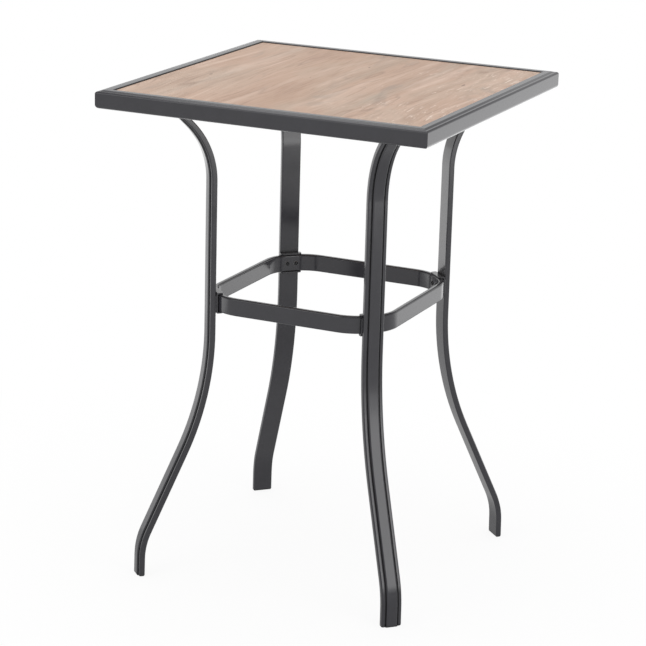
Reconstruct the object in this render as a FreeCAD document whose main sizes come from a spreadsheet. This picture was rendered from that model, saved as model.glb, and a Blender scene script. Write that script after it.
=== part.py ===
"""Square bar-height outdoor table: framed wood-look top, four S-curved tube legs and a foot ring.

Millimetres, +Z up, origin on the floor under the middle of the top. The front rail faces -Y.
Each leg stands in a diagonal plane, so legs, brackets, caps and gussets are drawn with X along the
diagonal, out from the middle, and then turned into their corner.
"""
import FreeCAD, Part
import math
import os
import Sketcher
from types import SimpleNamespace

SIZES = {
    # the whole table
    "table_size": 700,
    "table_height": 1016,
    # rim rail, a hollow section with a raised lip and a ledge for the panel
    "rim_height": 36,
    "rim_width": 26,
    "rim_wall": 1.5,
    "rim_under_round": 8,
    "rim_void_cut": 4,
    "shoulder_round": 5,
    "lip_setback": 9.5,
    "lip_rise": 2,
    "ledge_width": 12,
    "ledge_thick": 1.5,
    # panel and what carries it
    "panel_thick": 6,
    "panel_sink": 2.2,
    "panel_gap": 1,
    "panel_cut": 2,
    "bearer_width": 25,
    "bearer_depth": 12,
    "bearer_wall": 1.2,
    "bearer_spread": 260,
    "pad_width": 18,
    "pad_gap": 6,
    # corner gusset
    "gusset_reach": 108,
    "gusset_tip": 14,
    "gusset_thick": 3,
    "gusset_lift": 15,
    # leg section, flat inside, with a raised band between two grooves outside
    "leg_width": 42,
    "leg_depth": 15,
    "leg_wall": 1.2,
    "band_width": 23,
    "band_rise": 3,
    "groove_width": 2.5,
    "groove_depth": 1.2,
    # leg path in its diagonal plane, from the floor up; insets run from the rim's inner corner
    "foot_spread": 145.6,
    "foot_angle": 1,
    "foot_run": 36,
    "ankle_radius": 140,
    "shin_angle": 24.8,
    "knee_radius": 605,
    "leg_inset": 201.8,
    "crown_radius": 168,
    "crown_angle": 45,
    "crown_run": 31.4,
    "seat_radius": 70,
    "seat_inset": 32.2,
    # foot cap
    "cap_flange": 3,
    "cap_inset": 0.4,
    "cap_cut": 3.5,
    "cap_edge": 1.8,
    "cap_plug": 18,
    "cap_fit": 0.2,
    # foot ring and its brackets
    "ring_height": 36,
    "ring_depth": 12,
    "ring_wall": 2,
    "ring_cut": 2.6,
    "ring_radius": 62,
    "ring_seat": 30,
    "ring_level": 575,
    "bracket_width": 46,
    "bracket_thick": 3,
    "bracket_fit": 0.5,
    "bracket_reach": 15,
    "bracket_corner": 5,
    # fasteners
    "screw_pitch": 19,
    "screw_size": 5,
    "screw_slack": 0.25,
    "screw_head": 9.4,
    "screw_head_rise": 3.2,
    "screw_tip_gap": 0.2,
    "bolt_inset": 61.2,
    "bolt_size": 8,
    "bolt_slack": 0.3,
    "bolt_head_width": 13,
    "bolt_head_rise": 5.3,
    "bolt_tail": 2,
    "leg_nut_width": 13,
    "leg_nut_depth": 6.5,
}

SIDES = ("front", "right", "back", "left")
CORNERS = ("front_right", "back_right", "back_left", "front_left")
RIGHT_ANGLE = 90
OVERCUT = 5
SAME = 1e-6
UP = FreeCAD.Vector(0, 0, 1)


class Size:
    """A number together with the expression that works it out from the sheet."""

    def __init__(self, value, text):
        self.value = value
        self.text = text

    def __add__(self, other):
        other = as_size(other)
        return Size(self.value + other.value, f"({self.text} + {other.text})")

    def __sub__(self, other):
        other = as_size(other)
        return Size(self.value - other.value, f"({self.text} - {other.text})")

    def __mul__(self, other):
        other = as_size(other)
        return Size(self.value * other.value, f"({self.text} * {other.text})")

    def __truediv__(self, other):
        other = as_size(other)
        return Size(self.value / other.value, f"({self.text} / {other.text})")

    def __neg__(self):
        return Size(-self.value, f"(-1 * {self.text})")


def as_size(number):
    return number if isinstance(number, Size) else Size(number, repr(number))


def root(size):
    size = as_size(size)
    return Size(math.sqrt(size.value), f"sqrt({size.text})")


def sine(angle):
    return Size(math.sin(math.radians(angle.value)), f"sin({angle.text})")


def cosine(angle):
    return Size(math.cos(math.radians(angle.value)), f"cos({angle.text})")


def side_angle(side):
    """Turn from the front rail to another side's rail."""
    return SIDES.index(side) * RIGHT_ANGLE


def corner_angle(corner):
    """Direction of a corner, seen from above and measured from +X."""
    return (CORNERS.index(corner) - 1 / 2) * RIGHT_ANGLE


# Document, sheet and the values that several pieces share

doc = FreeCAD.newDocument("bar_table")
sheet = doc.addObject("Spreadsheet::Sheet", "Sizes")
for row, (name, number) in enumerate(SIZES.items(), start=1):
    sheet.set(f"A{row}", name)
    sheet.set(f"B{row}", str(number))
    sheet.setAlias(f"B{row}", name)
doc.recompute()

s = SimpleNamespace(**{name: Size(number, f"Sizes.{name}") for name, number in SIZES.items()})
half = s.table_size / 2
rim_bottom = s.table_height - s.rim_height
rim_inside = half - s.rim_width
panel_top = s.table_height - s.panel_sink
panel_bottom = panel_top - s.panel_thick
ledge_bottom = panel_bottom - s.ledge_thick
gusset_bottom = rim_bottom + s.gusset_lift
gusset_top = gusset_bottom + s.gusset_thick
corner_tip = rim_inside * root(2)
leg_line = corner_tip - s.leg_inset
leg_inside = leg_line - s.leg_depth / 2
leg_top_line = gusset_bottom - s.leg_depth / 2
seat_end = corner_tip - s.seat_inset
foot_reach = leg_line + s.foot_spread
foot_slant = cosine(s.foot_angle)
web_inside = leg_inside - s.bracket_thick
ring_half = (web_inside + s.ring_radius * (root(2) - 1) + s.ring_seat / 2) / root(2)
ring_bottom = s.ring_level - s.ring_height / 2
ring_top = s.ring_level + s.ring_height / 2
screw_radius = s.screw_size / 2
screw_hole = screw_radius + s.screw_slack
screw_side = s.screw_pitch / 2
screw_seat = web_inside - s.ring_depth
bolt_radius = s.bolt_size / 2
bolt_hole = bolt_radius + s.bolt_slack
bolt_reach = corner_tip - s.bolt_inset
bolt_seat = gusset_bottom - s.leg_depth

subparts = []


# Sketch and feature helpers

def bind(target, path, size):
    target.setExpression(path, as_size(size).text)


def new_body(label, angle=0):
    """A body for one sub-part, turned about the table's upright axis."""
    body = doc.addObject("PartDesign::Body", label)
    body.Label = label
    body.Placement = FreeCAD.Placement(FreeCAD.Vector(), FreeCAD.Rotation(UP, angle))
    subparts.append(body)
    return body


def new_sketch(body, plane, lift=0):
    """A sketch on one of the body's own planes, moved along that plane's normal."""
    sketch = body.newObject("Sketcher::SketchObject", f"{body.Name}_sketch")
    origin_plane = next(f for f in body.Origin.OriginFeatures if f.Role == plane)
    sketch.AttachmentSupport = [(origin_plane, "")]
    sketch.MapMode = "FlatFace"
    bind(sketch, "AttachmentOffset.Base.z", lift)
    return sketch


def pin(sketch, kind, size, geometry, point):
    """Fixes one point's X or Y from the sketch's origin."""
    index = sketch.addConstraint(Sketcher.Constraint(kind, -1, 1, geometry, point, size.value))
    bind(sketch, f"Constraints[{index}]", size)


def set_radius(sketch, size, geometry):
    index = sketch.addConstraint(Sketcher.Constraint("Radius", geometry, size.value))
    bind(sketch, f"Constraints[{index}]", size)


def add_line(sketch, start, end):
    return sketch.addGeometry(Part.LineSegment(start, end), False)


def add_arc(sketch, centre, radius, start, end, left_turn):
    """An arc from start to end; returns its index and the point numbers of start and end."""
    circle = Part.Circle(centre, UP, radius)
    first, last = (start, end) if left_turn else (end, start)
    a = math.atan2(first.y - centre.y, first.x - centre.x)
    b = math.atan2(last.y - centre.y, last.x - centre.x)
    b = b if b > a else b + 2 * math.pi
    index = sketch.addGeometry(Part.ArcOfCircle(circle, a, b), False)
    return (index, 1, 2) if left_turn else (index, 2, 1)


def circle(sketch, x, y, radius):
    x, y, radius = as_size(x), as_size(y), as_size(radius)
    centre = FreeCAD.Vector(x.value, y.value, 0)
    index = sketch.addGeometry(Part.Circle(centre, UP, radius.value), False)
    pin(sketch, "DistanceX", x, index, 3)
    pin(sketch, "DistanceY", y, index, 3)
    set_radius(sketch, radius, index)


def polygon(sketch, points):
    """Closed outline of straight edges with every corner pinned."""
    points = [(as_size(x), as_size(y)) for x, y in points]
    spots = [FreeCAD.Vector(x.value, y.value, 0) for x, y in points]
    lines = [add_line(sketch, spots[i], spots[(i + 1) % len(spots)]) for i in range(len(spots))]
    for i, (x, y) in enumerate(points):
        sketch.addConstraint(Sketcher.Constraint("Coincident", lines[i - 1], 2, lines[i], 1))
        pin(sketch, "DistanceX", x, lines[i], 1)
        pin(sketch, "DistanceY", y, lines[i], 1)


def toward(start, goal, step):
    """One coordinate moved by a step towards another, or left where both are the same."""
    start, goal = as_size(start), as_size(goal)
    if abs(goal.value - start.value) < SAME:
        return start
    return start + step if goal.value > start.value else start - step


def bevelled(corners):
    """Points of an outline of level and upright edges; a corner (x, y, cut) is cut off at 45 degrees."""
    points = []
    for i, corner in enumerate(corners):
        x, y = corner[:2]
        if len(corner) == 2:
            points.append((x, y))
            continue
        for other in (corners[i - 1], corners[(i + 1) % len(corners)]):
            points.append((toward(x, other[0], corner[2]), toward(y, other[1], corner[2])))
    return points


def outline(sketch, corners):
    """Closed outline of level and upright edges; a corner is (x, y) or (x, y, radius)."""
    corners = [tuple(as_size(item) for item in corner) for corner in corners]
    spots = [FreeCAD.Vector(corner[0].value, corner[1].value, 0) for corner in corners]
    count = len(spots)
    ways = [(spots[(i + 1) % count] - spots[i]).normalize() for i in range(count)]
    cuts = [corner[2].value if len(corner) > 2 else 0.0 for corner in corners]
    lines = []
    for i in range(count):
        after = (i + 1) % count
        line = add_line(sketch, spots[i] + ways[i] * cuts[i], spots[after] - ways[i] * cuts[after])
        lines.append(line)
        level = abs(ways[i].y) < abs(ways[i].x)
        sketch.addConstraint(Sketcher.Constraint("Horizontal" if level else "Vertical", line))
        pin(sketch, "DistanceY" if level else "DistanceX", corners[i][1 if level else 0], line, 1)
    for i, corner in enumerate(corners):
        before = lines[i - 1]
        if len(corner) == 2:
            sketch.addConstraint(Sketcher.Constraint("Coincident", before, 2, lines[i], 1))
            continue
        start = spots[i] - ways[i - 1] * cuts[i]
        end = spots[i] + ways[i] * cuts[i]
        centre = end - ways[i - 1] * cuts[i]
        left_turn = ways[i - 1].cross(ways[i]).z > 0
        arc, first, last = add_arc(sketch, centre, cuts[i], start, end, left_turn)
        sketch.addConstraint(Sketcher.Constraint("Tangent", before, 2, arc, first))
        sketch.addConstraint(Sketcher.Constraint("Tangent", arc, last, lines[i], 1))
        set_radius(sketch, corner[2], arc)


def rectangle(sketch, low, high, cut=None):
    """Closed rectangle between two corners, with its own corners cut off where a cut is given."""
    tail = () if cut is None else (cut,)
    spots = ((low[0], low[1]), (high[0], low[1]), (high[0], high[1]), (low[0], high[1]))
    polygon(sketch, bevelled([spot + tail for spot in spots]))


def pad(body, sketch, length, symmetric=False, reversed_way=False):
    feature = body.newObject("PartDesign::Pad", f"{body.Name}_pad")
    feature.Profile = sketch
    feature.SideType = "Symmetric" if symmetric else "One side"
    feature.Reversed = reversed_way
    bind(feature, "Length", length)
    return feature


def pocket(body, sketch, length=None, reversed_way=False):
    """Cuts against the sketch's normal; without a length it cuts through on both sides."""
    feature = body.newObject("PartDesign::Pocket", f"{body.Name}_pocket")
    feature.Profile = sketch
    feature.Reversed = reversed_way
    if length is None:
        feature.Type = "ThroughAll"
        feature.SideType = "Symmetric"
    else:
        bind(feature, "Length", length)
    return feature


def pipe(body, profile, path, kind="Additive"):
    feature = body.newObject(f"PartDesign::{kind}Pipe", f"{body.Name}_pipe")
    feature.Profile = profile
    feature.Spine = (path, [])
    return feature


def revolve(body, sketch):
    """Turns a half section about the sketch's upright axis."""
    feature = body.newObject("PartDesign::Revolution", f"{body.Name}_turn")
    feature.Profile = sketch
    feature.ReferenceAxis = (sketch, ["V_Axis"])
    feature.Angle = 360
    return feature


def edges_where(shape, test):
    """Names of the edges that pass a test on their own two end points."""
    names = []
    for number, edge in enumerate(shape.Edges, start=1):
        if len(edge.Vertexes) == 2 and test(edge.Vertexes[0].Point, edge.Vertexes[1].Point):
            names.append(f"Edge{number}")
    return names


def chamfer(body, base, names, size):
    feature = body.newObject("PartDesign::Chamfer", f"{body.Name}_chamfer")
    feature.Base = (base, names)
    bind(feature, "Size", size)
    return feature


# Top

def make_panel():
    body = new_body("top_panel")
    edge = rim_inside - s.panel_gap
    plan = new_sketch(body, "XY_Plane", panel_bottom)
    rectangle(plan, (-edge, -edge), (edge, edge), s.panel_cut)
    pad(body, plan, s.panel_thick)


def make_rail(side):
    """Hollow rail drawn as the front one: outer face to -Y, mitred at both ends."""
    body = new_body(f"rim_{side}", side_angle(side))
    section = new_sketch(body, "YZ_Plane")
    inner = -rim_inside
    ledge_edge = inner + s.ledge_width
    shoulder = s.table_height - s.lip_rise
    lip = -half + s.lip_setback
    outline(section, [
        (-half, rim_bottom, s.rim_under_round),
        (inner, rim_bottom),
        (inner, ledge_bottom),
        (ledge_edge, ledge_bottom),
        (ledge_edge, panel_bottom),
        (inner, panel_bottom),
        (inner, s.table_height),
        (lip, s.table_height),
        (lip, shoulder),
        (-half, shoulder, s.shoulder_round),
    ])
    polygon(section, bevelled([
        (-half + s.rim_wall, rim_bottom + s.rim_wall, s.rim_void_cut),
        (inner - s.rim_wall, rim_bottom + s.rim_wall),
        (inner - s.rim_wall, shoulder - s.rim_wall),
        (-half + s.rim_wall, shoulder - s.rim_wall, s.rim_void_cut),
    ]))
    pad(body, section, s.table_size + 2 * OVERCUT, symmetric=True)
    mitres = new_sketch(body, "XY_Plane")
    mitre_end = s.table_size / 2 - s.rim_width - s.ledge_width - OVERCUT
    beyond = half + 2 * OVERCUT
    for way in (1, -1):
        polygon(mitres, [
            ((half + OVERCUT) * way, -half - OVERCUT),
            (beyond * way, -half - OVERCUT),
            (beyond * way, -mitre_end),
            (mitre_end * way, -mitre_end),
        ])
    pocket(body, mitres)


def make_bearer(side, way):
    """Flat tube under the panel, from rail to rail."""
    body = new_body(f"bearer_{side}")
    section = new_sketch(body, "YZ_Plane")
    middle = s.bearer_spread / 2 * way
    low = ledge_bottom - s.bearer_depth
    reach = s.bearer_width / 2
    wall = s.bearer_wall
    rectangle(section, (middle - reach, low), (middle + reach, ledge_bottom))
    rectangle(section, (middle - reach + wall, low + wall), (middle + reach - wall, ledge_bottom - wall))
    pad(body, section, rim_inside * 2, symmetric=True)


def make_bearer_pads():
    """Foam strips that fill the ledge's thickness between the bearers and the panel."""
    body = new_body("bearer_pads")
    end = rim_inside - s.ledge_width - s.pad_gap
    reach = s.pad_width / 2
    plan = new_sketch(body, "XY_Plane", ledge_bottom)
    for way in (1, -1):
        middle = s.bearer_spread / 2 * way
        rectangle(plan, (-end, middle - reach), (end, middle + reach))
    pad(body, plan, s.ledge_thick)


def make_gusset(corner):
    """Plate across the inside of a rim corner, with the hole for the leg's bolt."""
    body = new_body(f"gusset_{corner}", corner_angle(corner))
    tip = corner_tip
    wing = s.gusset_reach - s.gusset_tip
    back = tip - s.gusset_reach
    plan = new_sketch(body, "XY_Plane", gusset_bottom)
    polygon(plan, [(tip, 0), (tip - wing, wing), (back, wing), (back, -wing), (tip - wing, -wing)])
    bolt_window(plan)
    pad(body, plan, s.gusset_thick)


def bolt_window(sketch):
    """Square punched hole for a leg bolt."""
    rectangle(sketch, (bolt_reach - bolt_hole, -bolt_hole), (bolt_reach + bolt_hole, bolt_hole))


# Legs

def leg_path(sketch):
    """Foot, ankle, shin, knee, upright, crown and seat as tangent lines and arcs."""
    lean, shin, crown = s.foot_angle.value, s.shin_angle.value, s.crown_angle.value
    rise = math.radians
    inward = (s.foot_run.value * math.sin(rise(lean))
              + s.ankle_radius.value * (math.cos(rise(lean)) - math.cos(rise(shin)))
              + s.knee_radius.value * (1 - math.cos(rise(shin))))
    shin_run = (foot_reach.value - leg_line.value - inward) / math.sin(rise(shin))
    lower = (s.cap_flange.value + s.foot_run.value * math.cos(rise(lean))
             + s.ankle_radius.value * (math.sin(rise(shin)) - math.sin(rise(lean)))
             + shin_run * math.cos(rise(shin)) + s.knee_radius.value * math.sin(rise(shin)))
    upper = (s.crown_radius.value * math.sin(rise(crown)) + s.crown_run.value * math.cos(rise(crown))
             + s.seat_radius.value * (1 - math.sin(rise(crown))))
    upright_run = leg_top_line.value - lower - upper
    outward = (s.crown_radius.value * (1 - math.cos(rise(crown)))
               + s.crown_run.value * math.sin(rise(crown))
               + s.seat_radius.value * math.cos(rise(crown)))
    seat_run = seat_end.value - leg_line.value - outward
    # heading is measured from straight up, positive outwards
    steps = [("line", s.foot_run.value, -lean), ("arc", s.ankle_radius.value, -shin),
             ("line", shin_run, -shin), ("arc", s.knee_radius.value, 0), ("line", upright_run, 0),
             ("arc", s.crown_radius.value, crown), ("line", s.crown_run.value, crown),
             ("arc", s.seat_radius.value, RIGHT_ANGLE), ("line", seat_run, RIGHT_ANGLE)]
    spot = FreeCAD.Vector(foot_reach.value, s.cap_flange.value, 0)
    heading = -lean
    pieces = []
    for kind, amount, new_heading in steps:
        way = FreeCAD.Vector(math.sin(rise(heading)), math.cos(rise(heading)), 0)
        if kind == "line":
            end = spot + way * amount
            pieces.append((add_line(sketch, spot, end), 1, 2))
        else:
            left_turn = new_heading < heading
            side = FreeCAD.Vector(-way.y, way.x, 0) * (1 if left_turn else -1)
            centre = spot + side * amount
            out = FreeCAD.Vector(math.sin(rise(new_heading)), math.cos(rise(new_heading)), 0)
            end = centre - FreeCAD.Vector(-out.y, out.x, 0) * (amount if left_turn else -amount)
            pieces.append(add_arc(sketch, centre, amount, spot, end, left_turn))
        spot, heading = end, new_heading
    for before, after in zip(pieces, pieces[1:]):
        sketch.addConstraint(Sketcher.Constraint("Tangent", before[0], before[2], after[0], after[1]))
    foot, ankle, shank, knee, post, bend, throat, turn, seat = [piece[0] for piece in pieces]
    for arc, radius in ((ankle, s.ankle_radius), (knee, s.knee_radius),
                        (bend, s.crown_radius), (turn, s.seat_radius)):
        set_radius(sketch, radius, arc)
    for line, angle in ((foot, s.foot_angle + RIGHT_ANGLE), (shank, s.shin_angle + RIGHT_ANGLE),
                        (throat, -s.crown_angle + RIGHT_ANGLE)):
        index = sketch.addConstraint(Sketcher.Constraint("Angle", -1, 1, line, 1, rise(angle.value)))
        bind(sketch, f"Constraints[{index}]", angle)
    for line, run in ((foot, s.foot_run), (throat, s.crown_run)):
        index = sketch.addConstraint(Sketcher.Constraint("Distance", line, run.value))
        bind(sketch, f"Constraints[{index}]", run)
    sketch.addConstraint(Sketcher.Constraint("Vertical", post))
    sketch.addConstraint(Sketcher.Constraint("Horizontal", seat))
    pin(sketch, "DistanceX", foot_reach, foot, 1)
    pin(sketch, "DistanceY", s.cap_flange, foot, 1)
    pin(sketch, "DistanceX", leg_line, post, 1)
    pin(sketch, "DistanceY", leg_top_line, seat, 1)
    pin(sketch, "DistanceX", seat_end, seat, 2)


def foot_place(depth):
    """X on the level cut through the leaning foot, for a depth measured square to the leg."""
    return foot_reach + depth / foot_slant


def leg_section(sketch):
    """Stepped tube section at the foot: flat inner face, raised band and two grooves outside."""
    bead_depth = s.leg_depth / 2 - s.band_rise
    groove_depth = bead_depth - s.groove_depth
    inner = foot_place(-s.leg_depth / 2)
    outer = foot_place(s.leg_depth / 2)
    bead = foot_place(bead_depth)
    groove = foot_place(groove_depth)
    side = s.leg_width / 2
    band = s.band_width / 2
    bank = band + s.groove_width
    polygon(sketch, [
        (inner, -side),
        (bead, -side),
        (bead, -bank),
        (groove, -bank),
        (groove, -band),
        (outer, -band),
        (outer, band),
        (groove, band),
        (groove, bank),
        (bead, bank),
        (bead, side),
        (inner, side),
    ])
    void_inner = foot_place(s.leg_wall - s.leg_depth / 2)
    void_outer = foot_place(groove_depth - s.leg_wall)
    rectangle(sketch, (void_inner, s.leg_wall - side), (void_outer, side - s.leg_wall))


def make_leg(corner):
    body = new_body(f"leg_{corner}", corner_angle(corner))
    path = new_sketch(body, "XZ_Plane")
    leg_path(path)
    section = new_sketch(body, "XY_Plane", s.cap_flange)
    leg_section(section)
    pipe(body, section, path)
    doc.recompute()
    bolt_holes = new_sketch(body, "XY_Plane", gusset_bottom)
    bolt_window(bolt_holes)
    pocket(body, bolt_holes, s.leg_depth + OVERCUT)


def make_cap(corner):
    """Foot cap: a flange under the tube's end and a plug inside it, leaning with the foot."""
    body = new_body(f"foot_cap_{corner}", corner_angle(corner))
    flange = new_sketch(body, "XY_Plane")
    reach = s.leg_depth / 2
    side = s.leg_width / 2 - s.cap_inset
    low = foot_place(-reach) + s.cap_inset
    high = foot_place(reach) - s.cap_inset
    rectangle(flange, (low, -side), (high, side), s.cap_cut)
    foot = pad(body, flange, s.cap_flange)
    doc.recompute()
    rim = edges_where(foot.Shape, lambda a, b: max(abs(a.z), abs(b.z)) < SAME)
    chamfer(body, foot, rim, s.cap_edge)
    path = new_sketch(body, "XZ_Plane")
    start = FreeCAD.Vector(foot_reach.value, s.cap_flange.value, 0)
    top = s.cap_flange + s.cap_plug * foot_slant
    inward = foot_reach - s.cap_plug * sine(s.foot_angle)
    line = add_line(path, start, FreeCAD.Vector(inward.value, top.value, 0))
    pin(path, "DistanceX", foot_reach, line, 1)
    pin(path, "DistanceY", s.cap_flange, line, 1)
    pin(path, "DistanceX", inward, line, 2)
    pin(path, "DistanceY", top, line, 2)
    section = new_sketch(body, "XY_Plane", s.cap_flange)
    gap = s.leg_wall + s.cap_fit
    plug_side = s.leg_width / 2 - gap
    inner = foot_place(gap - reach)
    outer = foot_place(reach - s.band_rise - s.groove_depth - gap)
    rectangle(section, (inner, -plug_side), (outer, plug_side))
    pipe(body, section, path)


# Foot ring

def make_ring():
    """One bent flat tube, closed on itself, with a flat and two screw holes at every leg."""
    body = new_body("foot_ring")
    middle = s.ring_depth / 2
    path = new_sketch(body, "XY_Plane", s.ring_level)
    ring_path(path, ring_half - middle, web_inside - middle, s.ring_radius - middle)
    low, high = ring_half - s.ring_depth, ring_half
    wall = s.ring_wall
    section = new_sketch(body, "XZ_Plane")
    rectangle(section, (low, ring_bottom), (high, ring_top), s.ring_cut)
    pipe(body, section, path)
    doc.recompute()
    hollow = new_sketch(body, "XZ_Plane")
    rectangle(hollow, (low + wall, ring_bottom + wall), (high - wall, ring_top - wall))
    pipe(body, hollow, path, "Subtractive")
    doc.recompute()
    holes = corner_sketch(body, web_inside)
    for way in (1, -1):
        middle = screw_side * way
        rectangle(holes, (middle - screw_hole, s.ring_level - screw_hole),
                  (middle + screw_hole, s.ring_level + screw_hole))
    hole_cut = pocket(body, holes, s.ring_depth + OVERCUT)
    corners = body.newObject("PartDesign::PolarPattern", "foot_ring_corners")
    corners.Originals = [hole_cut]
    axis = next(f for f in body.Origin.OriginFeatures if f.Role == "Z_Axis")
    corners.Axis = (axis, [""])
    corners.Angle = 360
    corners.Occurrences = len(CORNERS)
    body.Tip = corners


def ring_path(sketch, reach, seat_reach, radius):
    """Four sides and, across the corners, four short seats, joined by arcs; starts mid-side."""
    step = math.radians(RIGHT_ANGLE / 2)
    trim = radius.value * math.tan(step / 2)
    reaches = [reach, seat_reach] * 4
    spots = [FreeCAD.Vector(reach.value, 0, 0)]
    centres = []
    for turn, (here, after) in enumerate(zip(reaches, reaches[1:] + reaches[:1])):
        out = FreeCAD.Vector(math.cos(turn * step), math.sin(turn * step), 0)
        along = FreeCAD.Vector(-out.y, out.x, 0)
        next_along = along * math.cos(step) - out * math.sin(step)
        run = (after.value - here.value * math.cos(step)) / math.sin(step)
        vertex = out * here.value + along * run
        spots += [vertex - along * trim, vertex + next_along * trim]
        centres.append(vertex - along * trim - out * radius.value)
    pieces = []
    for turn, centre in enumerate(centres):
        start, bend, end = spots[2 * turn:2 * turn + 3]
        pieces.append((add_line(sketch, start, bend), 1, 2))
        pieces.append(add_arc(sketch, centre, radius.value, bend, end, True))
    pieces.append((add_line(sketch, spots[-1], spots[0]), 1, 2))
    for before, after in zip(pieces, pieces[1:]):
        sketch.addConstraint(Sketcher.Constraint("Tangent", before[0], before[2], after[0], after[1]))
    sketch.addConstraint(Sketcher.Constraint("Coincident", pieces[-1][0], 2, pieces[0][0], 1))
    for arc in pieces[1::2]:
        set_radius(sketch, radius, arc[0])
    lines = [piece[0] for piece in pieces[0::2]]
    for line in (lines[0], lines[4], lines[8]):
        sketch.addConstraint(Sketcher.Constraint("Vertical", line))
    for line in (lines[2], lines[6]):
        sketch.addConstraint(Sketcher.Constraint("Horizontal", line))
    for turn, line in enumerate(lines[1::2]):
        slope = math.radians((turn + 3 / 2) * RIGHT_ANGLE)
        sketch.addConstraint(Sketcher.Constraint("Angle", line, slope))
        index = sketch.addConstraint(Sketcher.Constraint("Distance", -1, 1, line, seat_reach.value))
        bind(sketch, f"Constraints[{index}]", seat_reach)
    pin(sketch, "DistanceX", reach, lines[0], 1)
    pin(sketch, "DistanceY", as_size(0), lines[0], 1)
    pin(sketch, "DistanceY", reach, lines[2], 1)
    pin(sketch, "DistanceX", -reach, lines[4], 1)
    pin(sketch, "DistanceY", -reach, lines[6], 1)


def corner_sketch(body, reach):
    """Upright sketch across a diagonal, at a distance from the middle; its X runs round the corner."""
    along = reach / root(2)
    sketch = new_sketch(body, "YZ_Plane", along)
    diagonal = FreeCAD.Rotation(FreeCAD.Vector(0, 1, 0), RIGHT_ANGLE / 2)
    sketch.AttachmentOffset = FreeCAD.Placement(FreeCAD.Vector(), diagonal)
    bind(sketch, "AttachmentOffset.Base.x", along)
    bind(sketch, "AttachmentOffset.Base.z", along)
    return sketch


def make_bracket(corner):
    """Channel clip on the leg's inner face: a web and two flanges that hold the ring."""
    body = new_body(f"ring_bracket_{corner}", corner_angle(corner))
    low = ring_bottom - s.bracket_fit
    high = ring_top + s.bracket_fit
    thick = s.bracket_thick
    tip = leg_inside - s.bracket_reach
    section = new_sketch(body, "XZ_Plane")
    outline(section, [
        (leg_inside, low - thick),
        (leg_inside, high + thick),
        (tip, high + thick),
        (tip, high),
        (web_inside, high),
        (web_inside, low),
        (tip, low),
        (tip, low - thick),
    ])
    channel = pad(body, section, s.bracket_width, symmetric=True)
    doc.recompute()
    at_tip = tip.value + SAME
    upright = edges_where(channel.Shape, lambda a, b: max(a.x, b.x) < at_tip and abs(a.y - b.y) < SAME)
    chamfer(body, channel, upright, s.bracket_corner)
    doc.recompute()
    tapped_holes = new_sketch(body, "YZ_Plane", leg_inside)
    for way in (1, -1):
        circle(tapped_holes, screw_side * way, s.ring_level, screw_radius)
    pocket(body, tapped_holes, thick * 2)


# Fasteners, each drawn once along +Z and then set at its places

def hexagon(sketch, width):
    """Hexagon about the origin, by its width across flats."""
    point = width / root(3)
    across = width / 2
    polygon(sketch, [(point, 0), (point / 2, across), (-point / 2, across),
                     (-point, 0), (-point / 2, -across), (point / 2, -across)])


def pattern_body(name):
    """A body that only serves as the shape to repeat."""
    return doc.addObject("PartDesign::Body", name)


def make_pan_screw():
    """Pan head with its seat at z = 0, the shank along +Z."""
    body = pattern_body("pan_screw")
    length = s.ring_depth + s.bracket_thick - s.screw_tip_gap
    head = s.screw_head / 2
    half_section = new_sketch(body, "XZ_Plane")
    polygon(half_section, [
        (0, -s.screw_head_rise),
        (head, -s.screw_head_rise),
        (head, 0),
        (screw_radius, 0),
        (screw_radius, length),
        (0, length),
    ])
    revolve(body, half_section)
    return body


def make_hex_bolt():
    """Hexagon head under z = 0, the shank along +Z."""
    body = pattern_body("hex_bolt")
    head = new_sketch(body, "XY_Plane")
    hexagon(head, s.bolt_head_width)
    pad(body, head, s.bolt_head_rise, reversed_way=True)
    doc.recompute()
    shank = new_sketch(body, "XY_Plane")
    circle(shank, 0, 0, bolt_radius)
    pad(body, shank, s.leg_depth + s.gusset_thick + s.leg_nut_depth + s.bolt_tail)
    return body


def make_nut():
    """Hexagon nut standing on z = 0."""
    body = pattern_body("hex_nut")
    plan = new_sketch(body, "XY_Plane")
    hexagon(plan, s.leg_nut_width)
    circle(plan, 0, 0, bolt_radius)
    pad(body, plan, s.leg_nut_depth)
    return body


def set_out(label, pattern, places):
    """One sub-part of separate solids: the pattern's shape at every place of every corner."""
    doc.recompute()
    solids = []
    for corner in CORNERS:
        turn = FreeCAD.Placement(FreeCAD.Vector(), FreeCAD.Rotation(UP, corner_angle(corner)))
        for place in places:
            copy = pattern.Shape.copy()
            copy.Placement = turn.multiply(place)
            solids.append(copy)
    group = doc.addObject("Part::Feature", label)
    group.Label = label
    group.Shape = Part.makeCompound(solids)
    subparts.append(group)


def make_fasteners():
    outward = FreeCAD.Rotation(FreeCAD.Vector(0, 1, 0), RIGHT_ANGLE)
    upright = FreeCAD.Rotation()
    screw_reach, level = screw_seat.value, s.ring_level.value
    seats = [FreeCAD.Vector(screw_reach, screw_side.value * way, level) for way in (1, -1)]
    set_out("ring_screws", make_pan_screw(), [FreeCAD.Placement(seat, outward) for seat in seats])
    for label, pattern, height in (("leg_bolts", make_hex_bolt(), bolt_seat),
                                   ("leg_nuts", make_nut(), gusset_top)):
        spot = FreeCAD.Vector(bolt_reach.value, 0, height.value)
        set_out(label, pattern, [FreeCAD.Placement(spot, upright)])


make_panel()
for side in SIDES:
    make_rail(side)
for side, way in (("front", -1), ("back", 1)):
    make_bearer(side, way)
make_bearer_pads()
for corner in CORNERS:
    make_gusset(corner)
    make_leg(corner)
    make_cap(corner)
    make_bracket(corner)
make_ring()
make_fasteners()
doc.recompute()

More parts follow.
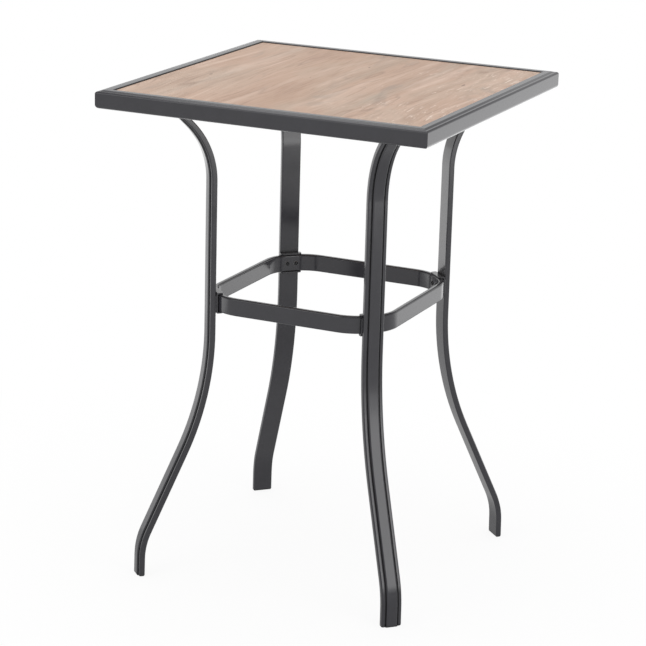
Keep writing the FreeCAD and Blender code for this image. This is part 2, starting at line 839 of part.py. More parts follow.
# Nothing is written unless every object is sound
for item in doc.Objects:
    if "Invalid" in item.State or "Error" in item.State:
        raise RuntimeError(f"{item.Label} failed to build: {item.State}")
for item in subparts:
    if item.Shape.isNull() or not item.Shape.isValid() or not item.Shape.Solids:
        raise RuntimeError(f"{item.Label} has no sound solid")

os.makedirs("parts", exist_ok=True)
for item in subparts:
    item.Shape.exportStep(f"parts/{item.Label}.step")
print(f"{len(subparts)} sub-parts written")
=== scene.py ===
import math

import bmesh
import bpy
from mathutils import Matrix, Vector


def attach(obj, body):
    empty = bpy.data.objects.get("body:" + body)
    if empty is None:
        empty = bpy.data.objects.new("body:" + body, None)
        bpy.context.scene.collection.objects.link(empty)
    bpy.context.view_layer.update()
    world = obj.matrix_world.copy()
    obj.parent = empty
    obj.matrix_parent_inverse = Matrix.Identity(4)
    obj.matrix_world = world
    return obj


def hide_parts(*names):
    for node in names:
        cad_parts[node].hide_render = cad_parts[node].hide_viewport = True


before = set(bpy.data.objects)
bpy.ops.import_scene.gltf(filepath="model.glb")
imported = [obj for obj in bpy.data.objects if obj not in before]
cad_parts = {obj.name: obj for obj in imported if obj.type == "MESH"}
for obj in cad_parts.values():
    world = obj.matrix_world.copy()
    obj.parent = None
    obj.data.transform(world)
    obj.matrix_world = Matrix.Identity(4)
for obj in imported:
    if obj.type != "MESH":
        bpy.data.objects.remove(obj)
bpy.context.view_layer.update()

# Square bar-height outdoor table. Lengths are millimetres unless they say metres, and meshes are in metres.
MM = 0.001
CORNERS = {"front_right": -45, "back_right": 45, "back_left": 135, "front_left": -135}
SIDES = {"front": 0, "right": 90, "back": 180, "left": 270}

# Tabletop
TABLE_SIZE = 700.0
TOP = 1016.0
RIM_HEIGHT = 36.0
RIM_WIDTH = 26.0
RIM_FOOT_ROUND = 1.0
RIM_UNDER_ROUND = 8.0
RIM_EDGE_ROUND = 1.2
SHOULDER_ROUND = 4.5
LIP_SETBACK = 9.5
LIP_RISE = 2.0
LIP_SLOPE_OUT = 2.6
LIP_SLOPE_IN = 3.2
LIP_FOOT_ROUND = 2.0
LIP_TOP_ROUND = 3.0
LEDGE_WIDTH = 12.0
LEDGE_THICK = 1.5
LEDGE_ROUND = 0.4
MITRE_SINK = 0.25
MITRE_RUN = 0.3
PANEL_THICK = 6.0
PANEL_SINK = 2.2
PANEL_GAP = 1.0
PANEL_EDGE = 0.8
PANEL_BEND = 0.3 * PANEL_EDGE
PANEL_CORNER = 2.0
GUSSET_LIFT = 15.0
GUSSET_THICK = 3.0
BEARER_DEPTH = 12.0
BEARER_SPREAD = 260.0
HALF = TABLE_SIZE / 2
RIM_BOTTOM = TOP - RIM_HEIGHT
RIM_INSIDE = HALF - RIM_WIDTH
LIP = HALF - LIP_SETBACK
SHOULDER = TOP - LIP_RISE
PANEL_TOP = TOP - PANEL_SINK
PANEL_BOTTOM = PANEL_TOP - PANEL_THICK
PANEL_HALF = RIM_INSIDE - PANEL_GAP
LEDGE_INSIDE = RIM_INSIDE - LEDGE_WIDTH
LEDGE_BOTTOM = PANEL_BOTTOM - LEDGE_THICK
GUSSET_BOTTOM = RIM_BOTTOM + GUSSET_LIFT
BEARER_BOTTOM = LEDGE_BOTTOM - BEARER_DEPTH

# Legs: reach runs from the middle of the table along a diagonal, insets from the rim's inner corner
CORNER_TIP = RIM_INSIDE * math.sqrt(2)
LEG_DEPTH = 15.0
LEG_WIDTH = 42.0
LEG_WALL = 1.2
LEG_INNER_ROUND = 2.5
BEAD_ROUND = 2.8
BAND_WIDTH = 23.0
BAND_RISE = 3.0
BAND_ROUND = 3.0
BAND_FOOT_ROUND = 0.5
GROOVE_WIDTH = 2.5
GROOVE_DEPTH = 1.2
GROOVE_EXTRA_DEPTH = 1.0
GROOVE_BANK_ROUND = 0.8
GROOVE_FLOOR_ROUND = 0.4
FOOT_SPREAD = 145.6
FOOT_LEVEL = 3.0
FOOT_ANGLE = 1.0
FOOT_RUN = 36.0
FOOT_HOLLOW = 30.0
ANKLE_RADIUS = 140.0
SHIN_ANGLE = 24.8
KNEE_RADIUS = 605.0
LEG_INSET = 201.8
CROWN_RADIUS = 168.0
CROWN_ANGLE = 45.0
CROWN_RUN = 31.4
SEAT_RADIUS = 70.0
SEAT_ANGLE = 90.0
SEAT_INSET = 32.2
SEAT_HOLLOW = 40.0
LEG_LINE = CORNER_TIP - LEG_INSET
LEG_INSIDE = LEG_LINE - LEG_DEPTH / 2
FOOT_REACH = LEG_LINE + FOOT_SPREAD
SEAT_LEVEL = GUSSET_BOTTOM - LEG_DEPTH / 2
SEAT_END = CORNER_TIP - SEAT_INSET

# Foot caps: the sole's profile is how far it stands back at each height
CAP_INSET = 0.4
CAP_FIT = 0.2
CAP_ROUND = 2.0
CAP_BEAD_ROUND = 2.5
CAP_STEP_ROUND = 1.0
CAP_PLUG = 18.0
PLUG_ROUND = 1.5
PLUG_TAPER = 1.2
SOLE_PROFILE = ((2.2, 0.0), (1.2, 0.25), (0.5, 0.9), (0.15, 1.7), (0.0, FOOT_LEVEL - 0.3), (0.3, FOOT_LEVEL))

# Foot ring and its clips: the drawn bends are wider than those that set the ring's sides
RING_LEVEL = 575.0
RING_HEIGHT = 36.0
RING_DEPTH = 12.0
RING_ROUND = 4.0
RING_SEAT = 30.0
RING_SOLID_BEND = 62.0
RING_BEND = 84.0
RING_TURN = 45.0
BEND_CHORDS = 10
CLIP_WIDTH = 46.0
CLIP_THICK = 3.0
CLIP_FIT = 0.5
CLIP_REACH = 15.0
CLIP_CORNER = 5.0
CLIP_CORNER_CHORDS = 6
CLIP_FOLD_ROUND = 3.0
CLIP_CHANNEL_ROUND = 0.6
CLIP_EDGE_ROUND = 0.5
WEB_INSIDE = LEG_INSIDE - CLIP_THICK
RING_SIDE = (WEB_INSIDE + RING_SOLID_BEND * (math.sqrt(2) - 1) + RING_SEAT / 2) / math.sqrt(2)

# Fasteners
AXIS_RADIUS = 0.01
SCREW_PITCH = 19.0
SCREW_SIZE = 5.0
SCREW_TIP_GAP = 0.2
SCREW_POINT = 0.8
SCREW_POINT_RUN = 1.0
SCREW_HEAD = 9.4
SCREW_HEAD_RISE = 3.2
SCREW_RIM = 0.6
SCREW_RIM_EDGE = 0.3
SCREW_DOME = 80.0
SCREW_DOME_CHORDS = 8
RECESS_ARM = 0.75
RECESS_REACH = 2.6
RECESS_DEPTH = 1.9
RECESS_TAPER = 0.7
BOLT_INSET = 61.2
BOLT_SIZE = 8.0
BOLT_TAIL = 2.0
BOLT_POINT = 0.8
BOLT_HEAD_RISE = 5.3
BOLT_HEAD_WIDTH = 13.0
BOLT_HEAD_SEAT = 1.0
FLANGE_RADIUS = 8.2
FLANGE_TOP_RADIUS = 6.6
FLANGE_EDGE = 0.5
FLANGE_RISE = 1.4
THREAD_START = 4.0
THREAD_END = 2.0
THREAD_PITCH = 1.25
THREAD_DEPTH = 0.65
THREAD_CREST_END = 0.15
THREAD_ROOT = 0.6
THREAD_CREST_START = 1.1
NUT_DEPTH = 6.5
NUT_SLACK = 0.05
NUT_SINK = 0.4
NUT_SINK_SPREAD = 1.05
HEX_FACE_SHARE = 0.96
HEX_TURN_ANGLE = 28.0
OVERCUT = 1.0
SCREW_CHORDS = 40
HEX_CHORDS = 48
THREAD_CHORDS = 24
BORE_CHORDS = 32
SCREW_SPIN = 23.0
SCREW_CORNER_SPIN = 61.0
SCREW_SIDE_SPIN = 37.0
BOLT_SPIN = 17.0
BOLT_CORNER_SPIN = 49.0
SCREW_SIDE = SCREW_PITCH / 2
SCREW_SEAT = WEB_INSIDE - RING_DEPTH
SCREW_LENGTH = RING_DEPTH + CLIP_THICK - SCREW_TIP_GAP
BOLT_REACH = CORNER_TIP - BOLT_INSET
BOLT_SEAT = GUSSET_BOTTOM - LEG_DEPTH
NUT_BOTTOM = GUSSET_BOTTOM + GUSSET_THICK
BOLT_TOP = NUT_BOTTOM + NUT_DEPTH + BOLT_TAIL

# Welds
WELD_SIDES = 12
WELD_STEP = 0.8
WELD_LEAST_STEPS = 6
WELD_START = 0.08
WELD_RIPPLE = 0.09
WELD_RIPPLE_TURN = 1.6
GUSSET_WELD = 2.0
GUSSET_WELD_RUNS = ((225.0, 262.0), (285.0, 318.0))
CLIP_WELD = 1.9
CLIP_WELD_HALF = 17.0
CLIP_WELD_IN = 0.2
CLIP_WELD_OUT = 0.8
BEARER_WELD = 1.8
BEARER_WELD_HALF = 10.0

# Softened edges of the CAD nodes that show as they are
GUSSET_EDGE = 0.6
BEARER_EDGE = 0.4
PAD_EDGE = 0.2
EDGE_CHORDS = 3
EDGE_ANGLE = 30.0

# Camera at the photograph's angle: image and focal length in pixels, angles in degrees
IMAGE_SIZE = 646
FOCAL_LENGTH = 2429.63
SENSOR_WIDTH = 36.0
CAMERA_AZIMUTH = 24.75
CAMERA_ELEVATION = 16.45
CAMERA_ROLL = 1.55
CAMERA_DISTANCE = 5012.76
TARGET_HEIGHT = 508.41
TARGET_SHIFT = -10.24

# Soft lamps in metres: place, aim, width and height, and radiance, where 1 is the white that the camera sees
LAMPS = {
    "back_softbox": ((0.35, 1.35, 0.57), (0.35, 0.0, 0.57), (3.0, 1.10), 0.74),
    "high_back_softbox": ((0.0, 1.35, 1.34), (0.0, 0.0, 1.34), (4.4, 0.44), 0.38),
    "left_softbox": ((-1.75, 0.40, 0.60), (0.0, 0.40, 0.60), (0.8, 1.15), 0.35),
    "back_left_softbox": ((-1.75, 1.25, 0.60), (0.0, 1.25, 0.60), (0.9, 1.15), 0.8),
    "front_left_softbox": ((-1.75, -0.75, 0.60), (0.0, -0.75, 0.60), (1.3, 1.15), 1.2),
    "front_softbox": ((-1.1, -2.2, 1.9), (0.0, -0.35, 1.0), (1.6, 1.4), 1.5),
    "right_softbox": ((2.3, -1.1, 1.08), (0.2, -0.25, 1.08), (1.6, 1.25), 3.2),
    "low_right_softbox": ((2.3, -1.1, 0.345), (0.2, -0.25, 0.345), (1.6, 0.21), 1.4),
    "high_left_softbox": ((-0.95, 0.87, 2.8), (0.0, -0.35, 1.0), (1.0, 0.7), 1.2),
    "top_softbox": ((0.0, -0.2, 2.8), (0.0, 0.0, 0.0), (2.4, 2.4), 1.6),
}

# White surround, and a floor whose half size is in metres
WHITE = (1, 1, 1, 1)
SURROUND_LIGHT = 0.5
FLOOR_HALF = 40.0
FLOOR_TONE = (0.88, 0.88, 0.88, 1)
FLOOR_ROUGHNESS = 0.9

# Mesh clean-up distances in metres
JOIN_DISTANCE = 1e-6
SLIVER = 1e-7


# Outlines and skins

def rounded(corners, steps=4):
    """Closed outline from (x, y) or (x, y, radius) corners; rounds are drawn as short chords."""
    points = []
    for index, corner in enumerate(corners):
        here = Vector(corner[:2])
        radius = corner[2] if len(corner) > 2 else 0
        if not radius:
            points.append(here)
            continue
        before = (Vector(corners[index - 1][:2]) - here).normalized()
        after = (Vector(corners[(index + 1) % len(corners)][:2]) - here).normalized()
        half = before.angle(after) / 2
        middle = here + (before + after).normalized() * (radius / math.sin(half))
        start = here + before * (radius / math.tan(half)) - middle
        way = 1 if before.cross(after) < 0 else -1
        turn = way * (math.pi - 2 * half)
        for step in range(steps + 1):
            points.append(middle + Matrix.Rotation(turn * step / steps, 2) @ start)
    return points


def rounded_box(low, high, radius, steps):
    """Rounded rectangle between two opposite (x, y) corners."""
    return rounded([
        (low[0], low[1], radius), (high[0], low[1], radius),
        (high[0], high[1], radius), (low[0], high[1], radius),
    ], steps)


def inset(outline, amount):
    """The outline moved inwards, for a closed outline drawn counter-clockwise."""
    sharpest = 0.5
    points = []
    for index, here in enumerate(outline):
        before = (here - outline[index - 1]).normalized()
        after = (outline[(index + 1) % len(outline)] - here).normalized()
        along = (before + after).normalized()
        stretch = max(along.dot(after), sharpest)
        points.append(here + Vector((-along.y, along.x)) * (amount / stretch))
    return points


def skin(rings, closed=False):
    """Vertices and faces through rings of points; open ends get a face, a closed run joins up."""
    count = len(rings[0])
    vertices = [point for ring in rings for point in ring]
    faces = []
    for row in range(len(rings) if closed else len(rings) - 1):
        low = row * count
        high = (row + 1) % len(rings) * count
        for step in range(count):
            after = (step + 1) % count
            faces.append((low + step, low + after, high + after, high + step))
    if not closed:
        faces.append(tuple(reversed(range(count))))
        faces.append(tuple(range(len(vertices) - count, len(vertices))))
    return vertices, faces


def lathe(profile, sides):
    """Skin of (radius, height) points turned about +Z; both ends are closed."""
    rings = []
    for radius, height in profile:
        turns = [math.tau * side / sides for side in range(sides)]
        rings.append([Vector((radius * math.cos(turn), radius * math.sin(turn), height)) for turn in turns])
    return skin(rings)


def prism(outline, low, high):
    """Skin of a flat outline raised from low to high."""
    return skin([[Vector((p.x, p.y, level)) for p in outline] for level in (low, high)])


def combined(parts):
    """One list of vertices and faces from several (vertices, faces, placement) parts."""
    vertices, faces = [], []
    for part_vertices, part_faces, place in parts:
        first = len(vertices)
        vertices += [place @ Vector(v) for v in part_vertices]
        faces += [tuple(first + i for i in face) for face in part_faces]
    return vertices, faces


def placed(shape, *places):
    """The shape repeated at each placement."""
    return combined([(*shape, place) for place in places])


def joined(*shapes):
    """Several shapes where they are, as one."""
    return combined([(*shape, Matrix.Identity(4)) for shape in shapes])


def turned(angle):
    return Matrix.Rotation(math.radians(angle), 4, "Z")


# Meshes and pieces

def tidy_mesh(name, vertices, faces):
    """Mesh in metres with doubled points joined, flat slivers dropped and faces turned outwards."""
    mesh = bpy.data.meshes.new(name)
    mesh.from_pydata([tuple(v) for v in vertices], [], faces)
    work = bmesh.new()
    work.from_mesh(mesh)
    bmesh.ops.scale(work, vec=(MM, MM, MM), verts=work.verts)
    bmesh.ops.remove_doubles(work, verts=work.verts, dist=JOIN_DISTANCE)
    bmesh.ops.dissolve_degenerate(work, edges=work.edges, dist=SLIVER)
    bmesh.ops.recalc_face_normals(work, faces=work.faces)
    work.to_mesh(mesh)
    work.free()
    return mesh


def new_object(name, data):
    item = bpy.data.objects.new(name, data)
    bpy.context.scene.collection.objects.link(item)
    return item


def boolean(operation, body, tool):
    """Vertices and faces of body cut by or kept within tool, both given as skins in millimetres."""
    target = new_object("target", tidy_mesh("target", *body))
    cutter = new_object("cutter", tidy_mesh("cutter", *tool))
    change = target.modifiers.new("cut", "BOOLEAN")
    change.operation = operation
    change.solver = "EXACT"
    change.object = cutter
    graph = bpy.context.evaluated_depsgraph_get()
    mesh = bpy.data.meshes.new_from_object(target.evaluated_get(graph))
    vertices = [v.co / MM for v in mesh.vertices]
    faces = [tuple(polygon.vertices) for polygon in mesh.polygons]
    for used in (target, cutter):
        bpy.data.objects.remove(used)
    return vertices, faces


def piece_of(name, shape, material, slot, *nodes, angle=35):
    """A finished piece on the table: smooth below the angle, standing for the nodes that it hides; the slot
    is not used.
    """
    mesh = tidy_mesh(name, *shape)
    mesh.shade_smooth()
    mesh.set_sharp_from_angle(angle=math.radians(angle))
    mesh.materials.append(material)
    piece = new_object(name, mesh)
    flat = piece.modifiers.new("flat_faces", "WEIGHTED_NORMAL")
    flat.keep_sharp = True
    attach(piece, "root")
    if nodes:
        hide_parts(*nodes)


# Materials

class Nodes:
    """A node tree with short ways to add and join nodes."""

    def __init__(self, owner):
        owner.use_nodes = True
        self.owner = owner
        self.tree = owner.node_tree

    def add(self, kind, inputs=None, **settings):
        node = self.tree.nodes.new(f"ShaderNode{kind}")
        for key, value in settings.items():
            setattr(node, key, value)
        for key, value in (inputs or {}).items():
            self.feed(node.inputs[key], value)
        return node

    def feed(self, socket, value):
        if isinstance(value, bpy.types.NodeSocket):
            self.tree.links.new(value, socket)
        else:
            socket.default_value = value

    def ramp(self, value, *stops):
        node = self.add("ValToRGB", {"Fac": value})
        elements = node.color_ramp.elements
        while len(elements) < len(stops):
            elements.new(0.5)
        for element, (position, colour) in zip(elements, stops):
            element.position = position
            element.color = (*colour, 1) if isinstance(colour, tuple) else (colour, colour, colour, 1)
        return node.outputs["Color"]

    def mix(self, factor, first, second):
        """Mix of two colours, which are the node's inputs 6 and 7 and its output 2."""
        node = self.add("Mix", data_type="RGBA", blend_type="MIX")
        self.feed(node.inputs["Factor"], factor)
        self.feed(node.inputs[6], first)
        self.feed(node.inputs[7], second)
        return node.outputs[2]

    def math(self, operation, first, second, third=0.0):
        node = self.add("Math", operation=operation)
        for socket, value in zip(node.inputs, (first, second, third)):
            self.feed(socket, value)
        return node.outputs[0]

    def span(self, value, low, high, from_low=0.0, from_high=1.0):
        return self.add("MapRange", {
            "Value": value, "From Min": from_low, "From Max": from_high, "To Min": low, "To Max": high,
        }).outputs["Result"]

    def bump(self, height, distance, strength):
        node = self.add("Bump", {"Height": height, "Distance": distance, "Strength": strength})
        return node.outputs["Normal"]

    def mix_shaders(self, factor, first, second):
        return self.add("MixShader", {0: factor, 1: first, 2: second}).outputs[0]


class Material(Nodes):
    """Nodes of a new material, with the place on its piece in metres."""

    def __init__(self, name):
        super().__init__(bpy.data.materials.new(name))
        self.shader = self.tree.nodes["Principled BSDF"]
        self.place = self.add("TexCoord").outputs["Object"]

    def mapped(self, scale):
        return self.add("Mapping", {"Vector": self.place, "Scale": scale}).outputs["Vector"]

    def noise(self, scale, detail=3.0, roughness=0.5, vector=None, distortion=0.0):
        return self.add("TexNoise", {
            "Vector": vector or self.place, "Scale": scale, "Detail": detail,
            "Roughness": roughness, "Distortion": distortion,
        }).outputs["Fac"]

    def edges(self):
        """0 on flats, 1 on outer edges."""
        point = self.add("NewGeometry").outputs["Pointiness"]
        return self.span(point, 0.0, 1.0, 0.52, 0.6)

    def finish(self, **inputs):
        for key, value in inputs.items():
            socket = key.replace("_", " ").title().replace("Ior", "IOR")
            self.feed(self.shader.inputs[socket], value)
        return self.owner


def make_coat():
    """Satin charcoal powder coat: fine orange peel, faint mottling, small flecks, and painted shade that
    darkens and dulls its creases.
    """
    n = Material("charcoal_powder_coat")
    dark, light = (0.026, 0.0255, 0.030), (0.031, 0.0305, 0.036)
    fleck_grey, painted_shade_black = (0.10, 0.10, 0.105, 1), (0.006, 0.006, 0.007, 1)
    mottle = n.noise(24.0, detail=4.0, roughness=0.6)
    specks = n.noise(1900.0, detail=2.0)
    colour = n.ramp(mottle, (0.3, dark), (0.7, light))
    fleck = n.ramp(specks, (0.68, 0.0), (0.82, 1.0))
    colour = n.mix(n.math("MULTIPLY", fleck, 0.04), colour, fleck_grey)
    # Painted shade: ambient occlusion darkens creases, grooves and the joins between parts towards near
    # black, and roughens them there.
    crease_occlusion = n.add("AmbientOcclusion", {"Distance": 0.007}, samples=8).outputs["AO"]
    hollow = n.span(crease_occlusion, 1.0, 0.0, 0.35, 0.9)
    colour = n.mix(hollow, colour, painted_shade_black)
    rough = n.math("MULTIPLY_ADD", fleck, 0.03, n.span(mottle, 0.13, 0.18, 0.3, 0.7))
    rough = n.math("MULTIPLY_ADD", hollow, 0.6, rough)
    peel = n.noise(620.0, detail=2.0, roughness=0.45)
    fine = n.noise(2400.0, detail=2.0)
    height = n.math("MULTIPLY_ADD", fine, 0.3, peel)
    return n.finish(base_color=colour, roughness=rough, normal=n.bump(height, 0.00002, 0.08))


def make_wood():
    """Printed limed-oak board: tan and grey-tan clouds, wavy growth lines along Y, pale pores at one side."""
    n = Material("wood_look_board")
    tans = ((0.32, (0.440, 0.296, 0.221)), (0.46, (0.497, 0.344, 0.260)),
            (0.56, (0.488, 0.360, 0.279)), (0.70, (0.568, 0.403, 0.314)))
    tints = {
        "dark_streak": (0.340, 0.228, 0.168), "light_streak": (0.640, 0.490, 0.400),
        "grey_drift": (0.375, 0.305, 0.245), "brown_drift": (0.400, 0.262, 0.185),
        "smudge": (0.310, 0.250, 0.210), "growth_line": (0.290, 0.195, 0.145), "grain": (0.280, 0.190, 0.140),
        "pore_shadow": (0.300, 0.200, 0.150), "pore": (0.800, 0.680, 0.590), "mark": (0.140, 0.095, 0.075),
    }
    wave = n.add("TexNoise", {"Vector": n.mapped((3.0, 2.2, 1.0)), "Scale": 1.0, "Detail": 2.0})
    bent = n.add("VectorMath", {0: wave.outputs["Color"], 1: (0.05, 0.0, 0.0), 2: n.place},
                 operation="MULTIPLY_ADD").outputs[0]

    def along(across, length, detail, roughness=0.55, distortion=0.0, shift=0.0):
        """Noise drawn out along the grain; across and length are its scales in X and Y."""
        spot = n.add("Mapping", {
            "Vector": bent, "Scale": (across, length, 1.0), "Location": (shift, shift, shift),
        })
        return n.noise(1.0, detail, roughness, spot.outputs["Vector"], distortion)

    def stain(colour, tint, strength, value, low=0.0, high=1.0):
        amount = n.span(value, 0.0, strength, low, high)
        return n.mix(amount, colour, (*tints[tint], 1))

    colour = n.ramp(along(7.0, 1.8, 3.0, distortion=0.5), *tans)
    streak = along(32.0, 2.6, 4.0, 0.6, 0.6, shift=11.0)
    colour = stain(colour, "dark_streak", 0.55, streak, 0.46, 0.30)
    colour = stain(colour, "light_streak", 0.75, streak, 0.54, 0.70)

    # Broad drifts along the grain: middle and half width in metres, strength and noise shift
    side = n.add("SeparateXYZ", {0: bent}).outputs["X"]
    drifts = ((-0.195, 0.040, 0.5, 3.0, "grey_drift"), (0.160, 0.032, 0.75, 9.0, "grey_drift"),
              (0.045, 0.024, 0.55, 21.0, "grey_drift"), (0.0, 0.170, 0.5, 15.0, "brown_drift"))
    for middle, width, strength, shift, tint in drifts:
        away = n.math("ABSOLUTE", n.math("SUBTRACT", side, middle), 0.0)
        cloudy = n.span(along(26.0, 3.0, 3.0, shift=shift), 0.0, 1.0, 0.35, 0.6)
        drift = n.math("MULTIPLY", n.span(away, 1.0, 0.0, 0.0, width), cloudy)
        colour = stain(colour, tint, strength, drift)
    smudge = along(17.0, 5.0, 3.0, 0.6, 0.5, shift=23.0)
    colour = stain(colour, "smudge", 0.7, smudge, 0.58, 0.74)

    rings = n.math("MULTIPLY", along(15.0, 1.3, 1.5, 0.5, 0.4, shift=31.0), 11.0)
    growth = n.math("PINGPONG", rings, 0.5)
    shown = n.span(along(9.0, 4.0, 2.0, shift=37.0), 0.0, 1.0, 0.46, 0.60)
    lines = n.math("MULTIPLY", n.span(growth, 1.0, 0.0, 0.0, 0.14), shown)
    colour = stain(colour, "growth_line", 0.6, lines)

    grain = along(240.0, 14.0, 4.0, 0.65, 0.5, shift=41.0)
    colour = stain(colour, "grain", 0.35, grain, 0.54, 0.72)
    patch = n.math("MULTIPLY_ADD", side, 0.9, n.noise(8.0, roughness=0.6))
    patch = n.span(patch, 0.0, 1.0, 0.64, 0.80)
    shadows = along(230.0, 24.0, 3.0, 0.65, 0.6, shift=53.2)
    pores = along(230.0, 24.0, 3.0, 0.65, 0.6, shift=53.0)
    for grained, strength, tint in ((shadows, 0.4, "pore_shadow"), (pores, 0.7, "pore")):
        flecks = n.math("MULTIPLY", n.span(grained, 0.0, 1.0, 0.58, 0.66), patch)
        colour = stain(colour, tint, strength, flecks)
    marks = along(75.0, 24.0, 1.0, 0.4, shift=67.0)
    colour = stain(colour, "mark", 0.7, marks, 0.80, 0.83)
    rough = n.span(grain, 0.46, 0.60, 0.3, 0.7)
    height = n.math("MULTIPLY_ADD", pores, 0.4, grain)
    return n.finish(base_color=colour, roughness=rough, specular_ior_level=0.3,
                    normal=n.bump(height, 0.00005, 0.4))


def make_steel(name, dark, light, edge_wear_and_glint, roughness, metallic=1.0, specular=0.5):
    """Plated or blackened steel: turned scratches, small stains, and bright edges that are partly rubbed wear
    and partly a painted highlight.
    """
    n = Material(name)
    stain = n.noise(420.0, detail=4.0, roughness=0.6)
    scratch = n.noise(1.0, roughness=0.6, vector=n.mapped((900.0, 900.0, 5200.0)))
    colour = n.ramp(stain, (0.35, dark), (0.68, light))
    # Bright edges: partly rubbed wear, partly a painted highlight in place of glints.
    colour = n.mix(n.math("MULTIPLY", n.edges(), 0.7), colour, (*edge_wear_and_glint, 1))
    rough = n.math("MULTIPLY_ADD", scratch, 0.08, n.span(stain, *roughness, 0.3, 0.7))
    return n.finish(base_color=colour, roughness=rough, metallic=metallic, specular_ior_level=specular,
                    normal=n.bump(scratch, 0.00002, 0.3))


def make_plastic():
    """Moulded black foot plastic: fine spark texture, scuffed paler along the edges."""
    n = Material("moulded_foot_plastic")
    dark, light, scuffed = (0.016, 0.016, 0.017), (0.026, 0.026, 0.027), (0.075, 0.074, 0.072, 1)
    spark = n.noise(1500.0, roughness=0.6)
    colour = n.ramp(n.noise(60.0), (0.3, dark), (0.7, light))
    patches = n.span(n.noise(260.0, detail=4.0, roughness=0.7), 0.0, 0.8, 0.4, 0.65)
    colour = n.mix(n.math("MULTIPLY", n.edges(), patches), colour, scuffed)
    rough = n.span(spark, 0.48, 0.64, 0.3, 0.7)
    return n.finish(base_color=colour, roughness=rough, normal=n.bump(spark, 0.00006, 0.6))


def make_foam():
    """Dark closed-cell foam tape."""
    n = Material("closed_cell_foam")
    dark, light = (0.020, 0.020, 0.021), (0.055, 0.055, 0.057)
    cells = n.add("TexVoronoi", {"Vector": n.place, "Scale": 900.0}).outputs["Distance"]
    colour = n.ramp(cells, (0.0, dark), (0.6, light))
    rough = n.span(cells, 0.95, 0.82, 0.0, 0.6)
    return n.finish(base_color=colour, roughness=rough, normal=n.bump(cells, 0.0002, 0.7))


coat = make_coat()
wood = make_wood()
black_steel = make_steel("black_plated_steel", dark=(0.004, 0.004, 0.005), light=(0.010, 0.010, 0.011),
                         edge_wear_and_glint=(0.42, 0.42, 0.43), roughness=(0.12, 0.20), metallic=0.0, specular=0.2)
zinc = make_steel("zinc_plated_steel", dark=(0.42, 0.43, 0.44), light=(0.60, 0.61, 0.63),
                  edge_wear_and_glint=(1.0, 1.0, 1.0), roughness=(0.25, 0.40))
plastic = make_plastic()
foam = make_foam()


# Tabletop: mitred rails and the board

def rail_shape():
    """Front rail with rounded edges and a fine groove where it meets its neighbours."""
    outline = rounded([
        (RIM_INSIDE, RIM_BOTTOM, RIM_FOOT_ROUND),
        (HALF, RIM_BOTTOM, RIM_UNDER_ROUND),
        (HALF, SHOULDER, SHOULDER_ROUND),
        (LIP + LIP_SLOPE_OUT, SHOULDER, LIP_FOOT_ROUND),
        (LIP - LIP_SLOPE_IN, TOP, LIP_TOP_ROUND),
        (RIM_INSIDE, TOP, RIM_EDGE_ROUND),
        (RIM_INSIDE, PANEL_BOTTOM),
        (LEDGE_INSIDE, PANEL_BOTTOM, LEDGE_ROUND),
        (LEDGE_INSIDE, LEDGE_BOTTOM, LEDGE_ROUND),
        (RIM_INSIDE, LEDGE_BOTTOM),
    ], steps=6)
    end = inset(outline, MITRE_SINK)
    rings = []
    for way, ring, back in ((-1, end, 0.0), (-1, outline, MITRE_RUN), (1, outline, MITRE_RUN), (1, end, 0.0)):
        rings.append([Vector((way * (p.x - back), -p.x, p.y)) for p in ring])
    return skin(rings)


for side, angle in SIDES.items():
    piece_of(f"rail_{side}", placed(rail_shape(), turned(angle)), coat, "frame_coating", f"rim_{side}")


def board_shape():
    """Square board with a bevel along its lower edges and a small round along the upper ones."""
    rings = []
    for back, level in ((PANEL_EDGE, PANEL_BOTTOM), (0.0, PANEL_BOTTOM + PANEL_EDGE),
                        (0.0, PANEL_TOP - PANEL_EDGE), (PANEL_BEND, PANEL_TOP - PANEL_BEND),
                        (PANEL_EDGE, PANEL_TOP)):
        half = PANEL_HALF - back
        outline = rounded_box((-half, -half), (half, half), PANEL_CORNER, steps=4)
        rings.append([Vector((p.x, p.y, level)) for p in outline])
    return skin(rings)


piece_of("wood_look_board", board_shape(), wood, "wood_look_panel", "top_panel")


# Legs

